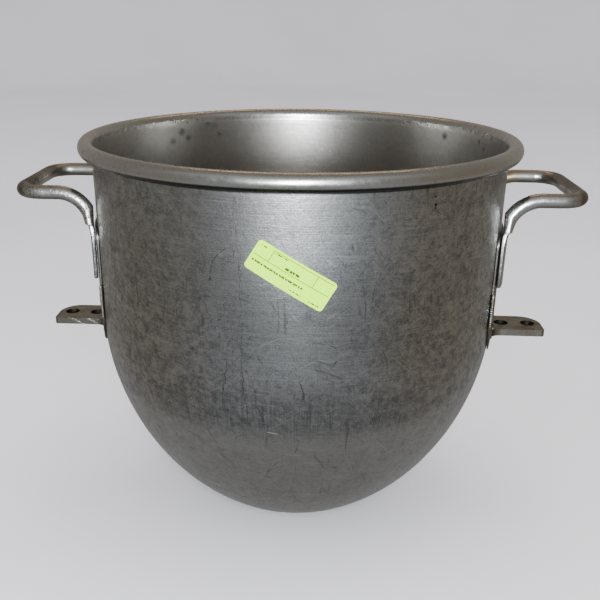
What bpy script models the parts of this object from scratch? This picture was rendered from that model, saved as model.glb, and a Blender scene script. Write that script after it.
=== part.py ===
"""Thirty-quart mixing bowl for a planetary mixer, as an assembly of its separate pieces.

The bowl's axis is the Z axis and it stands on its foot at z = 0. The handles and the mounting ears
are on the left (-X) and the right (+X), and the front of the bowl faces -Y. Metres throughout.
"""

import math

import bmesh
import bpy
from mathutils import Vector

# ---- bowl shell ----
TOTAL_HEIGHT = 0.369
RIM_RADIUS = 0.200
SHEET = 0.002
BEAD_HALF_WIDTH = 0.0068
BEAD_HALF_HEIGHT = 0.0072
BEAD_CURL_END = math.radians(-126.0)
WALL_RADIUS = 0.1883
WALL_TAPER = 0.010
WALL_DEPTH = 0.1622
DOME_DEPTH = 0.2161
DOME_POWER = 1.9
FOOT_RADIUS = 0.046
FOOT_BLEND = 0.0033
SHELL_SEGMENTS = 64
DOME_STEPS = 12
BEAD_STEPS = 17

# ---- wire rolled into the rim ----
WIRE_RADIUS = 0.0040
WIRE_SIDES = 8

# ---- mounting plates, curved to the wall ----
GAP = 0.0003
PLATE_THICKNESS = 0.0015
PLATE_TOP = 0.293
PLATE_BOTTOM = 0.1775
PLATE_HALF_ANGLE = math.radians(21.2)
PLATE_TOP_CORNER = 0.012
PLATE_BOTTOM_CORNER = 0.030
PLATE_COLUMNS = 18
PLATE_ROWS = (0.0, 0.07, 0.14, 0.21, 0.28, 1.0)

# ---- handles, bent from round rod ----
ROD_RADIUS = 0.00635
HANDLE_REACH = 0.2495
HANDLE_HALF_SPAN = 0.0553
HANDLE_HEIGHT = 0.322
CORNER_RADIUS = 0.021
LEG_BEND_X = 0.213
LEG_BEND_RADIUS = 0.030
ROUND_BEND_END = math.radians(60.0)
SHOULDER_BEND = math.radians(84.0)
STRIP_THICKNESS = 0.0040
STRIP_WIDTH = 0.020
STRIP_TOP = 0.294
STRIP_BOTTOM = 0.245
STRIP_ROWS = (0.0, 0.008, 0.025)
STRIP_TOP_NARROWING = 0.8
ROUND_SQUARENESS = 2.0
STRIP_SQUARENESS = 5.0
SHOULDER_SQUARENESS = 2.8
SHOULDER_SPREAD = 0.15
SHOULDER_INSET = 0.001
SECTION_SIDES = 14
BEND_STEPS = 6
SHOULDER_STEPS = 3
GRIP_CORNER_STEPS = 7

# ---- mounting ears ----
EAR_TOP = 0.188
EAR_THICKNESS = 0.00635
EAR_HALF_WIDTH = 0.019
EAR_REACH = 0.2384
EAR_REAR_CORNER = 0.020
EAR_FRONT_CORNER = 0.003
EAR_ROOT_HALF_WIDTH = 0.027
EAR_FLARE = 0.012
EAR_HOLE_RADIUS = 0.0065
EAR_HOLES_X = (0.2003, 0.2257)
EAR_HOLE_SIDES = 28
EAR_FLARE_STEPS = 4
EAR_FRONT_STEPS = 3
EAR_REAR_STEPS = 8
EAR_ROOT_STEPS = 10

# ---- weld beads ----
WELD_LEG = 0.0032
WELD_SIDES = 8
PLATE_WELD_DROP = 0.005
LEG_WELD_INSET = 0.004
EAR_WELD_OVERRUN = 0.003
WELD_STEPS = 8
WELD_SWELL_POWER = 0.3

# ---- paper label ----
LABEL_WIDTH = 0.068
LABEL_HEIGHT = 0.025
LABEL_CORNER = 0.003
LABEL_THICKNESS = 0.0003
LABEL_TILT = math.radians(-31.2)
LABEL_ARC = 0.0013
LABEL_CENTRE_Z = 0.291
LABEL_COLUMNS = 16


def clear_scene():
    for old in list(bpy.data.objects):
        bpy.data.objects.remove(old, do_unlink=True)


def make_material(name, color, roughness, metallic):
    material = bpy.data.materials.new(name)
    material.use_nodes = True
    shader = material.node_tree.nodes["Principled BSDF"]
    shader.inputs["Base Color"].default_value = (*color, 1.0)
    shader.inputs["Roughness"].default_value = roughness
    shader.inputs["Metallic"].default_value = metallic
    material.diffuse_color = (*color, 1.0)
    return material


def add_object(name, mesh_data, material, smooth_angle=35.0):
    """Turn a bmesh into a named object whose faces point out."""
    bmesh.ops.recalc_face_normals(mesh_data, faces=mesh_data.faces)
    if mesh_data.calc_volume(signed=True) < 0:
        bmesh.ops.reverse_faces(mesh_data, faces=mesh_data.faces)
    mesh = bpy.data.meshes.new(name)
    mesh_data.to_mesh(mesh)
    mesh_data.free()
    mesh.materials.append(material)
    mesh.shade_smooth()
    mesh.set_sharp_from_angle(angle=math.radians(smooth_angle))
    obj = bpy.data.objects.new(name, mesh)
    bpy.context.scene.collection.objects.link(obj)
    return obj


def loft(rings, closed=False):
    """Skin a list of rings of points. An open loft gets a flat face at each end."""
    mesh_data = bmesh.new()
    loops = [[mesh_data.verts.new(point) for point in ring] for ring in rings]
    count = len(loops[0])
    pairs = list(zip(loops, loops[1:]))
    if closed:
        pairs.append((loops[-1], loops[0]))
    for first, second in pairs:
        for i in range(count):
            j = (i + 1) % count
            mesh_data.faces.new((first[i], first[j], second[j], second[i]))
    if not closed:
        mesh_data.faces.new(loops[0])
        mesh_data.faces.new(loops[-1])
    return mesh_data


# ---- bowl shell ----

def wall_radius(z):
    """Outer radius of the shell's wall and dome at height z."""
    depth = TOTAL_HEIGHT - z
    straight = min(depth, WALL_DEPTH)
    radius = WALL_RADIUS - WALL_TAPER * straight
    fraction = (depth - straight) / DOME_DEPTH
    return radius * max(0.0, 1.0 - fraction ** DOME_POWER) ** (1.0 / DOME_POWER)


def dome_height(radius):
    """Height at which the dome's outside has the given radius."""
    base = WALL_RADIUS - WALL_TAPER * WALL_DEPTH
    fraction = (1.0 - (radius / base) ** DOME_POWER) ** (1.0 / DOME_POWER)
    return TOTAL_HEIGHT - WALL_DEPTH - DOME_DEPTH * fraction


def outer_skin():
    """(radius, height) points of the outside, from the foot's edge to the start of the bead."""
    start_radius = FOOT_RADIUS + FOOT_BLEND
    blend_start = Vector((FOOT_RADIUS - FOOT_BLEND, 0.0))
    blend_corner = Vector((FOOT_RADIUS, 0.0))
    blend_end = Vector((start_radius, max(dome_height(start_radius), 0.0)))
    points = []
    for t in (0.0, 0.5, 1.0):
        point = (1 - t) ** 2 * blend_start + 2 * t * (1 - t) * blend_corner + t * t * blend_end
        points.append((point.x, point.y))
    first_angle = math.acos((start_radius / wall_radius(TOTAL_HEIGHT - WALL_DEPTH)) ** (DOME_POWER / 2))
    for step in range(1, DOME_STEPS + 1):
        angle = first_angle * (1 - step / DOME_STEPS)
        drop = DOME_DEPTH * math.sin(angle) ** (2 / DOME_POWER)
        z = TOTAL_HEIGHT - WALL_DEPTH - drop
        points.append((wall_radius(z), z))
    bead_height = TOTAL_HEIGHT - BEAD_HALF_HEIGHT
    points.append((wall_radius((bead_height + z) / 2), (bead_height + z) / 2))
    return points


def inset_path(points, distance):
    """Copy an open path, moved by distance towards the inside of the bowl."""
    moved = []
    for i, (radius, z) in enumerate(points):
        before = points[max(i - 1, 0)]
        after = points[min(i + 1, len(points) - 1)]
        run = Vector((after[0] - before[0], after[1] - before[1])).normalized()
        moved.append((radius - run.y * distance, z + run.x * distance))
    return moved


def bead_arc(half_width, half_height):
    """Points round the bead's section, from its inner side over the top to the curl's end."""
    centre_radius = RIM_RADIUS - BEAD_HALF_WIDTH
    centre_z = TOTAL_HEIGHT - BEAD_HALF_HEIGHT
    points = []
    for step in range(BEAD_STEPS + 1):
        angle = math.pi + (BEAD_CURL_END - math.pi) * step / BEAD_STEPS
        radius = centre_radius + half_width * math.cos(angle)
        points.append((radius, centre_z + half_height * math.sin(angle)))
    return points


def build_shell(material):
    """The shell: foot, dome, wall and rolled bead, spun from one closed section."""
    outside = outer_skin()
    inside = inset_path(outside, SHEET)
    inside[0] = (outside[0][0], SHEET)
    hollow = bead_arc(BEAD_HALF_WIDTH - SHEET, BEAD_HALF_HEIGHT - SHEET)
    bead = bead_arc(BEAD_HALF_WIDTH, BEAD_HALF_HEIGHT)
    section = [(0.0, 0.0)] + outside + hollow + bead[::-1] + inside[::-1] + [(0.0, SHEET)]
    mesh_data = bmesh.new()
    verts = [mesh_data.verts.new((radius, 0.0, z)) for radius, z in section]
    edges = [mesh_data.edges.new(pair) for pair in zip(verts, verts[1:])]
    bmesh.ops.spin(mesh_data, geom=verts + edges, cent=(0, 0, 0), axis=(0, 0, 1),
                   angle=2 * math.pi, steps=SHELL_SEGMENTS, use_merge=True)
    bmesh.ops.remove_doubles(mesh_data, verts=mesh_data.verts, dist=1e-6)
    return add_object("bowl_shell", mesh_data, material)


def build_rim_wire(material):
    """A round wire ring inside the bead's hollow."""
    centre_z = TOTAL_HEIGHT - BEAD_HALF_HEIGHT
    centre_radius = RIM_RADIUS - BEAD_HALF_WIDTH
    rings = []
    for i in range(SHELL_SEGMENTS):
        turn = 2 * math.pi * i / SHELL_SEGMENTS
        ring = []
        for j in range(WIRE_SIDES):
            angle = 2 * math.pi * j / WIRE_SIDES
            radius = centre_radius + WIRE_RADIUS * math.cos(angle)
            z = centre_z + WIRE_RADIUS * math.sin(angle)
            ring.append((radius * math.cos(turn), radius * math.sin(turn), z))
        rings.append(ring)
    return add_object("rim_wire", loft(rings, closed=True), material, smooth_angle=60.0)


# ---- mounting plates ----

def plate_inside(z):
    """Radius of a mounting plate's inner face at height z: it follows the wall and the dome's start."""
    return wall_radius(z) + GAP


def plate_outside(z):
    """Radius of a mounting plate's outer face at height z."""
    return plate_inside(z) + PLATE_THICKNESS


def corner_cut(fraction, corner):
    """How far a rounded corner draws a plate's edge back, at a fraction of its half width."""
    half_width = PLATE_HALF_ANGLE * WALL_RADIUS
    into_corner = max(0.0, abs(fraction) * half_width - (half_width - corner))
    return corner - math.sqrt(max(0.0, corner ** 2 - into_corner ** 2))


def build_mount_plate(side, name, material):
    """A thin plate with rounded corners that follows the wall's curve and taper, and the dome below."""
    rings = []
    for i in range(PLATE_COLUMNS + 1):
        fraction = math.sin(math.pi * (i / PLATE_COLUMNS - 0.5))
        low = PLATE_BOTTOM + corner_cut(fraction, PLATE_BOTTOM_CORNER)
        high = PLATE_TOP - corner_cut(fraction, PLATE_TOP_CORNER)
        angle = PLATE_HALF_ANGLE * fraction
        direction = Vector((side * math.cos(angle), math.sin(angle), 0.0))
        heights = [low + (high - low) * share for share in PLATE_ROWS]
        ring = [direction * plate_inside(z) + Vector((0, 0, z)) for z in heights[::-1]]
        ring += [direction * plate_outside(z) + Vector((0, 0, z)) for z in heights]
        rings.append(ring)
    return add_object(name, loft(rings), material)


# ---- handles ----

def section_ring(centre, thick_axis, wide_axis, half_thickness, half_width, squareness):
    """A superellipse ring of points: squareness 2 is round, and larger is a rounded strip."""
    ring = []
    for i in range(SECTION_SIDES):
        angle = 2 * math.pi * (i + 0.5) / SECTION_SIDES
        c, s = math.cos(angle), math.sin(angle)
        thick = half_thickness * math.copysign(abs(c) ** (2 / squareness), c)
        wide = half_width * math.copysign(abs(s) ** (2 / squareness), s)
        ring.append(centre + thick_axis * thick + wide_axis * wide)
    return ring


def leg_contact_x(z):
    """X of the plate's outer face, plus the gap, at the leg's place along Y."""
    return math.sqrt((plate_outside(z) + GAP) ** 2 - HANDLE_HALF_SPAN ** 2)


def leg_sections():
    """(inner point, outer point, half width, squareness) in the leg's X-Z plane, arm to strip end."""
    centre = Vector((LEG_BEND_X, HANDLE_HEIGHT - LEG_BEND_RADIUS))
    sections = []
    for step in range(BEND_STEPS + 1):
        bend = ROUND_BEND_END * step / BEND_STEPS
        ray = Vector((-math.sin(bend), math.cos(bend)))
        inner = centre + ray * (LEG_BEND_RADIUS + ROD_RADIUS)
        outer = centre + ray * (LEG_BEND_RADIUS - ROD_RADIUS)
        sections.append((inner, outer, ROD_RADIUS, ROUND_SQUARENESS))
    last_inner = sections[-1][0]
    for step in range(1, SHOULDER_STEPS + 1):
        t = step / SHOULDER_STEPS
        bend = ROUND_BEND_END + (SHOULDER_BEND - ROUND_BEND_END) * t
        ray = Vector((-math.sin(bend), math.cos(bend)))
        outer = centre + ray * (LEG_BEND_RADIUS - ROD_RADIUS)
        z = last_inner.y + (STRIP_TOP + SHOULDER_INSET - last_inner.y) * t
        inner = Vector((max(leg_contact_x(z), last_inner.x), z))
        squareness = ROUND_SQUARENESS + (SHOULDER_SQUARENESS - ROUND_SQUARENESS) * t
        sections.append((inner, outer, ROD_RADIUS * (1 + SHOULDER_SPREAD * t), squareness))
    for drop in STRIP_ROWS + (STRIP_TOP - STRIP_BOTTOM,):
        inner = Vector((leg_contact_x(STRIP_TOP - drop), STRIP_TOP - drop))
        outer = inner + Vector((STRIP_THICKNESS, 0.0))
        half_width = STRIP_WIDTH / 2 * (STRIP_TOP_NARROWING if drop == 0 else 1.0)
        sections.append((inner, outer, half_width, STRIP_SQUARENESS))
    return sections


def leg_rings(side, front):
    """Rings of one leg, from the arm's end down to the strip's end."""
    leg_y = front * HANDLE_HALF_SPAN
    contact = leg_contact_x(STRIP_TOP)
    radial = Vector((contact, leg_y, 0.0)).normalized()
    rings = []
    for inner, outer, half_width, squareness in leg_sections():
        middle = (inner + outer) / 2
        across = outer - inner
        turned = min(1.0, (squareness - ROUND_SQUARENESS) / (SHOULDER_SQUARENESS - ROUND_SQUARENESS))
        outward = Vector((1, 0, 0)).lerp(radial, turned).normalized()
        thick_axis = (outward * across.x + Vector((0, 0, across.y))).normalized()
        wide_axis = outward.cross(Vector((0, 0, front))).normalized()
        centre = Vector((inner.x, leg_y, middle.y)) + outward * across.x / 2
        ring = section_ring(centre, thick_axis, wide_axis, across.length / 2, half_width, squareness)
        rings.append([Vector((side * p.x, p.y, p.z)) for p in ring])
    return rings


def arm_rings(side, front):
    """Rings of one arm: from its end above the leg, along X, and round the grip's corner."""
    turn_x = HANDLE_REACH - CORNER_RADIUS
    turn_y = HANDLE_HALF_SPAN - CORNER_RADIUS
    rings = []
    for step in range(GRIP_CORNER_STEPS + 1):
        turn = math.pi / 2 * step / GRIP_CORNER_STEPS
        centre = Vector((turn_x + CORNER_RADIUS * math.sin(turn),
                         front * (turn_y + CORNER_RADIUS * math.cos(turn)), HANDLE_HEIGHT))
        inward = Vector((-math.sin(turn), -front * math.cos(turn), 0.0))
        ring = section_ring(centre, Vector((0, 0, -1)), inward, ROD_RADIUS, ROD_RADIUS,
                            ROUND_SQUARENESS)
        rings.append([Vector((side * p.x, p.y, p.z)) for p in ring])
    return rings


def build_handle(side, name, material):
    """One bent rod: front leg, front arm, grip, rear arm, rear leg."""
    rings = leg_rings(side, -1)[::-1] + arm_rings(side, -1)
    rings += arm_rings(side, 1)[::-1] + leg_rings(side, 1)
    return add_object(name, loft(rings), material, smooth_angle=50.0)


# ---- mounting ears ----

def arc_points(centre, radius, start, end, steps):
    points = []
    for step in range(steps + 1):
        angle = start + (end - start) * step / steps
        points.append((centre[0] + radius * math.cos(angle), centre[1] + radius * math.sin(angle)))
    return points


def ear_outline():
    """Plan outline of the right ear, anticlockwise from its root's front end."""
    root_radius = plate_outside(EAR_TOP) + GAP
    root_angle = math.asin(EAR_ROOT_HALF_WIDTH / root_radius)
    flare_y = EAR_ROOT_HALF_WIDTH - EAR_HALF_WIDTH
    flare_x = root_radius * math.cos(root_angle) + EAR_FLARE
    front_flare = []
    for step in range(EAR_FLARE_STEPS + 1):
        t = math.pi / 2 * step / EAR_FLARE_STEPS
        x = flare_x - EAR_FLARE * math.cos(t)
        front_flare.append((x, -EAR_ROOT_HALF_WIDTH + flare_y * math.sin(t)))
    front_corner = arc_points((EAR_REACH - EAR_FRONT_CORNER, -EAR_HALF_WIDTH + EAR_FRONT_CORNER),
                              EAR_FRONT_CORNER, -math.pi / 2, 0.0, EAR_FRONT_STEPS)
    rear_corner = arc_points((EAR_REACH - EAR_REAR_CORNER, EAR_HALF_WIDTH - EAR_REAR_CORNER),
                             EAR_REAR_CORNER, 0.0, math.pi / 2, EAR_REAR_STEPS)
    rear_flare = [(x, -y) for x, y in front_flare[::-1]]
    root = arc_points((0.0, 0.0), root_radius, root_angle, -root_angle, EAR_ROOT_STEPS)[1:-1]
    return front_flare + front_corner + rear_corner + rear_flare + root


def make_cutter(name, x, side):
    """A cylinder through the ear, kept out of the finished model."""
    mesh_data = bmesh.new()
    bmesh.ops.create_cone(mesh_data, cap_ends=True, segments=EAR_HOLE_SIDES, radius1=EAR_HOLE_RADIUS,
                          radius2=EAR_HOLE_RADIUS, depth=3 * EAR_THICKNESS)
    mesh = bpy.data.meshes.new(name)
    mesh_data.to_mesh(mesh)
    mesh_data.free()
    cutter = bpy.data.objects.new(name, mesh)
    cutter.location = (side * x, 0.0, EAR_TOP - EAR_THICKNESS / 2)
    cutter.hide_render = True
    cutter.display_type = "WIRE"
    bpy.context.scene.collection.objects.link(cutter)
    return cutter


def build_ear(side, name, material):
    """A thick flat plate with a flared root and two round holes."""
    outline = [(side * x, y) for x, y in ear_outline()]
    rings = []
    for z in (EAR_TOP - EAR_THICKNESS, EAR_TOP):
        rings.append([(x, y, z) for x, y in outline])
    ear = add_object(name, loft(rings), material, smooth_angle=30.0)
    for number, x in enumerate(EAR_HOLES_X):
        hole = ear.modifiers.new(f"hole_{number}", "BOOLEAN")
        hole.operation = "DIFFERENCE"
        hole.solver = "EXACT"
        hole.object = make_cutter(f"{name}_hole_cutter_{number}", x, side)
    return ear


# ---- weld beads ----

def weld_ring(centre, out_axis, along_axis, leg):
    """Section of a fillet bead: a round bead that sits in the corner."""
    ring = []
    for i in range(WELD_SIDES):
        angle = 2 * math.pi * i / WELD_SIDES
        ring.append(centre + out_axis * leg * math.cos(angle) / 2 + along_axis * leg * math.sin(angle) / 2)
    return ring


def weld_swell(step):
    """A bead is full along its middle and tapers at its two ends."""
    return math.sin(math.pi * (step + 1) / (WELD_STEPS + 2)) ** WELD_SWELL_POWER


def build_plate_weld(side, front, name, material):
    """A bead down the front or rear edge of a plate, below the handle's strip, against the wall."""
    bead_radius = WELD_LEG / 2
    start = STRIP_BOTTOM - PLATE_WELD_DROP
    end = PLATE_BOTTOM + PLATE_BOTTOM_CORNER
    rings = []
    for step in range(WELD_STEPS + 1):
        z = start + (end - start) * step / WELD_STEPS
        angle = PLATE_HALF_ANGLE + (GAP + bead_radius) / plate_inside(z)
        direction = Vector((side * math.cos(angle), front * math.sin(angle), 0.0))
        sideways = Vector((-side * math.sin(angle), front * math.cos(angle), 0.0))
        centre = direction * (plate_inside(z) + bead_radius) + Vector((0, 0, z))
        rings.append(weld_ring(centre, direction, sideways, WELD_LEG * weld_swell(step)))
    return add_object(name, loft(rings), material, smooth_angle=60.0)


def build_leg_weld(side, front, name, material):
    """A bead down the inner edge of a handle's strip, in the corner it makes with the plate."""
    bead_radius = WELD_LEG / 2
    start = PLATE_TOP - LEG_WELD_INSET
    end = STRIP_BOTTOM + LEG_WELD_INSET
    rings = []
    for step in range(WELD_STEPS + 1):
        z = start + (end - start) * step / WELD_STEPS
        radius = plate_outside(z) + GAP + bead_radius
        angle = math.asin(HANDLE_HALF_SPAN / plate_outside(z))
        angle -= (STRIP_WIDTH / 2 + GAP + bead_radius) / radius
        direction = Vector((side * math.cos(angle), front * math.sin(angle), 0.0))
        sideways = Vector((-side * math.sin(angle), front * math.cos(angle), 0.0))
        centre = direction * radius + Vector((0, 0, z))
        rings.append(weld_ring(centre, direction, sideways, WELD_LEG * weld_swell(step)))
    return add_object(name, loft(rings), material, smooth_angle=60.0)


def build_ear_weld(side, above, name, material):
    """A bead along an ear's root, above or below it, in the corner it makes with the plate."""
    bead_radius = WELD_LEG / 2
    face_z = EAR_TOP if above > 0 else EAR_TOP - EAR_THICKNESS
    z = face_z + above * (GAP + bead_radius)
    reach = math.asin((EAR_HALF_WIDTH + EAR_WELD_OVERRUN) / plate_outside(z))
    rings = []
    for step in range(WELD_STEPS + 1):
        angle = reach * (2 * step / WELD_STEPS - 1)
        direction = Vector((side * math.cos(angle), math.sin(angle), 0.0))
        centre = direction * (plate_outside(z) + GAP + bead_radius) + Vector((0, 0, z))
        rings.append(weld_ring(centre, direction, Vector((0, 0, 1)), WELD_LEG * weld_swell(step)))
    return add_object(name, loft(rings), material, smooth_angle=60.0)


# ---- paper label ----

def build_label(material):
    """A thin rounded rectangle, tilted, and wrapped round the front of the wall."""
    rings = []
    for i in range(LABEL_COLUMNS + 1):
        fraction = math.sin(math.pi * (i / LABEL_COLUMNS - 0.5))
        along = fraction * LABEL_WIDTH / 2
        into_corner = max(0.0, abs(along) - (LABEL_WIDTH / 2 - LABEL_CORNER))
        drop = LABEL_CORNER - math.sqrt(max(0.0, LABEL_CORNER ** 2 - into_corner ** 2))
        half = LABEL_HEIGHT / 2 - drop
        ring = []
        for lift, across in ((0, -half), (0, 0.0), (0, half),
                             (LABEL_THICKNESS, half), (LABEL_THICKNESS, 0.0), (LABEL_THICKNESS, -half)):
            arc = LABEL_ARC + along * math.cos(LABEL_TILT) - across * math.sin(LABEL_TILT)
            z = LABEL_CENTRE_Z + along * math.sin(LABEL_TILT) + across * math.cos(LABEL_TILT)
            radius = wall_radius(z) + GAP + lift
            angle = arc / wall_radius(LABEL_CENTRE_Z)
            ring.append(Vector((radius * math.sin(angle), -radius * math.cos(angle), z)))
        rings.append(ring)
    return add_object("lot_label", loft(rings), material)


def build():
    clear_scene()
    shell_metal = make_material("shell_metal", (0.42, 0.42, 0.40), 0.42, 1.0)
    wire_metal = make_material("wire_metal", (0.35, 0.35, 0.35), 0.50, 1.0)
    rod_metal = make_material("rod_metal", (0.55, 0.55, 0.53), 0.30, 1.0)
    plate_metal = make_material("plate_metal", (0.40, 0.39, 0.36), 0.45, 1.0)
    ear_metal = make_material("ear_metal", (0.46, 0.43, 0.38), 0.45, 1.0)
    weld_metal = make_material("weld_metal", (0.50, 0.48, 0.44), 0.35, 1.0)
    label_paper = make_material("label_paper", (0.58, 0.92, 0.24), 0.75, 0.0)

    build_shell(shell_metal)
    build_rim_wire(wire_metal)
    for side, side_name in ((-1, "left"), (1, "right")):
        build_mount_plate(side, f"{side_name}_mount_plate", plate_metal)
        build_handle(side, f"{side_name}_handle", rod_metal)
        build_ear(side, f"{side_name}_mount_ear", ear_metal)
        for front, end_name in ((-1, "front"), (1, "rear")):
            build_plate_weld(side, front, f"{side_name}_plate_weld_{end_name}", weld_metal)
            build_leg_weld(side, front, f"{side_name}_leg_weld_{end_name}", weld_metal)
        for above, end_name in ((1, "top"), (-1, "bottom")):
            build_ear_weld(side, above, f"{side_name}_ear_weld_{end_name}", weld_metal)
    build_label(label_paper)


build()
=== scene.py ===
"""A worn steel mixing bowl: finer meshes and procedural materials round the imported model.

Lengths are metres in the row frame: Z is the bowl's axis, the handles are at -X and +X, and the
labelled front faces -Y.
"""

from math import acos, asin, copysign, cos, exp, hypot, pi, radians, sin, sqrt

import bmesh
import bpy
from mathutils import Matrix, Vector, noise


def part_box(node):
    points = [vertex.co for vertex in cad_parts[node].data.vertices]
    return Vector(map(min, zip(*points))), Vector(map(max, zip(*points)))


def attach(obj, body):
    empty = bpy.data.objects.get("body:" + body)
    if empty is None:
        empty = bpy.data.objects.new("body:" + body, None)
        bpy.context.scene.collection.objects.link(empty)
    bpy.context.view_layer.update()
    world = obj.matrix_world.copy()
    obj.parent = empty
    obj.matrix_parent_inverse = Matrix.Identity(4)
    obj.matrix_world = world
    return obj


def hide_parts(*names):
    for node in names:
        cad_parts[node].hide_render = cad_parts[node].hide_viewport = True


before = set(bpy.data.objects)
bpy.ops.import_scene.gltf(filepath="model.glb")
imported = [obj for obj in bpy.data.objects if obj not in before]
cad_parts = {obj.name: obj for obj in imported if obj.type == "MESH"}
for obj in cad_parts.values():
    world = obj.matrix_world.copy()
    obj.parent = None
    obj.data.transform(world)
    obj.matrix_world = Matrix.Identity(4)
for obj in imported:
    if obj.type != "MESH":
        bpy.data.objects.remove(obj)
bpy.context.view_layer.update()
noise.seed_set(5)

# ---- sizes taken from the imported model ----
shell_low, shell_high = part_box("bowl_shell")
wire_low, wire_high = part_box("rim_wire")
HEIGHT = shell_high.z
RIM_RADIUS = shell_high.x
BEAD_Z = (wire_low.z + wire_high.z) / 2
BEAD_RADIUS = wire_high.x - (wire_high.z - wire_low.z) / 2
BEAD_HALF_WIDTH = RIM_RADIUS - BEAD_RADIUS
BEAD_HALF_HEIGHT = HEIGHT - BEAD_Z
EAR_LOW, EAR_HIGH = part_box("right_mount_ear")
PLATE_LOW, PLATE_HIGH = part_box("right_mount_plate")
HANDLE_LOW, HANDLE_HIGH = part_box("right_handle")
LABEL_LOW, LABEL_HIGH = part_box("lot_label")

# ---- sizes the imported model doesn't state ----
SHEET = 0.002
BEAD_CURL_END = radians(-126.0)
WALL_RADIUS = 0.1883
WALL_TAPER = 0.01
WALL_DEPTH = 0.1622
DOME_DEPTH = 0.2161
DOME_POWER = 1.9
FOOT_RADIUS = 0.046
FOOT_BLEND = 0.0033
GAP = 0.0003
PLATE_THICKNESS = 0.0015
PLATE_HALF_ANGLE = radians(21.2)
PLATE_TOP_CORNER = 0.012
PLATE_BOTTOM_CORNER = 0.03
PLATE_ROUNDING = 0.0005
ROD_RADIUS = 0.00635
HANDLE_HALF_SPAN = HANDLE_HIGH.y - ROD_RADIUS - 0.0036
CORNER_RADIUS = 0.021
LEG_BEND_X = 0.213
LEG_BEND_RADIUS = 0.03
ROUND_BEND_END = radians(60.0)
SHOULDER_BEND = radians(84.0)
STRIP_THICKNESS = 0.004
STRIP_WIDTH = 0.02
STRIP_TOP = 0.294
STRIP_BOTTOM = HANDLE_LOW.z
EAR_HALF_WIDTH = 0.019
EAR_REAR_CORNER = 0.02
EAR_FRONT_CORNER = 0.003
EAR_ROOT_HALF_WIDTH = EAR_HIGH.y
EAR_FLARE = 0.012
EAR_HOLE_RADIUS = 0.0065
EAR_HOLES_X = (0.2003, 0.2257)
EAR_BEVEL = 0.0007
WELD_LEG = 0.0032
WELD_RIPPLE = 0.0021
LABEL_WIDTH = 0.068
LABEL_HEIGHT = 0.025
LABEL_CORNER = 0.003
LABEL_THICKNESS = 0.00025
LABEL_GAP = 0.00012
LABEL_TILT = radians(-31.2)
LABEL_ARC = 0.0013
LABEL_CENTRE_Z = (LABEL_LOW.z + LABEL_HIGH.z) / 2

# ---- how finely the surfaces are cut ----
SPIN_SEGMENTS = 224
FLAT_STEPS = 5
FOOT_STEPS = 6
DOME_STEPS = 56
WALL_STEPS = 30
BEAD_STEPS = 56
CURL_STEPS = 24
PLATE_ROWS = 16
PLATE_COLUMNS = 48
ROD_SIDES = 36
ROD_SPACING = 0.003
BEND_STEPS = 18
SHOULDER_STEPS = 8
CORNER_STEPS = 20
WELD_SIDES = 14
WELD_SPACING = 0.0006

# ---- heights at which the shell's finish changes, from clear to full ----
# LOW_DOME: where the lower dome turns lighter and calmer, partly its smoother finish and partly painted
# reflection of the pale floor.
LOW_DOME = (0.168, 0.138)
BAND_TOP = (0.205, 0.176)
BAND_BOTTOM = (0.146, 0.162)
BEAD_START = (0.3572, 0.3592)
# The next two heights bound a ring of painted shade: the bead's underside and the crease below it are
# painted near black.
PAINTED_SHADE_TOP = (0.3588, 0.3574)
PAINTED_SHADE_BOTTOM = (0.3516, 0.353)

# ---- marks ----
# Shallow knocks in the sheet: angle from the front towards +X, height, radius and depth.
KNOCKS = (
    (-0.72, 0.135, 0.034, 0.0006), (0.3, 0.1, 0.03, 0.0007), (0.95, 0.205, 0.04, 0.0006),
    (-0.25, 0.215, 0.045, 0.0005), (2.3, 0.18, 0.05, 0.0009), (3.6, 0.12, 0.04, 0.001),
    (4.3, 0.25, 0.045, 0.0008), (-1.1, 0.3, 0.04, 0.0005),
)

# Scores in the front: start angle and height, end angle and height, half width.
SCORES = (
    (-0.206, 0.3, -0.199, 0.283, 0.0005), (-0.199, 0.283, -0.191, 0.2165, 0.00055),
    (-0.191, 0.2165, -0.1815, 0.174, 0.0006), (-0.2615, 0.2174, -0.291, 0.176, 0.0006),
    (-0.152, 0.203, -0.114, 0.168, 0.0005), (-0.1895, 0.202, -0.1786, 0.1685, 0.0005),
    (0.0355, 0.217, 0.05, 0.203, 0.001), (0.05, 0.203, 0.067, 0.19, 0.0012),
    (0.198, 0.2214, 0.158, 0.21, 0.0006), (0.097, 0.237, 0.131, 0.238, 0.0007),
    (0.155, 0.236, 0.2, 0.233, 0.0008), (0.2, 0.233, 0.271, 0.2366, 0.0005),
    (0.34, 0.268, 0.355, 0.28, 0.0006), (0.411, 0.227, 0.43, 0.2116, 0.0006),
    (0.256, 0.199, 0.266, 0.194, 0.0005), (-0.27, 0.308, -0.316, 0.298, 0.0007),
    (-0.316, 0.298, -0.33, 0.283, 0.0007), (-0.228, 0.311, -0.27, 0.308, 0.0006),
)
# Dark smudges high on the inside: centre and radius.
SMUDGES = (
    ((-0.105, 0.152, 0.358), 0.0075), ((-0.098, 0.157, 0.353), 0.007), ((-0.093, 0.16, 0.345), 0.0065),
    ((-0.132, 0.132, 0.35), 0.007), ((-0.126, 0.138, 0.343), 0.006), ((-0.14, 0.123, 0.341), 0.0065),
    ((0.149, 0.112, 0.352), 0.006), ((0.1755, 0.062, 0.354), 0.0035), ((0.1785, 0.052, 0.348), 0.0035),
)
# Rust spots on the front: angle from the front towards +X, height, radius.
RUST = (
    (0.607, 0.3454, 0.0012), (0.6123, 0.3389, 0.0019), (0.612, 0.3365, 0.0013), (0.6, 0.335, 0.0007),
)
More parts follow.
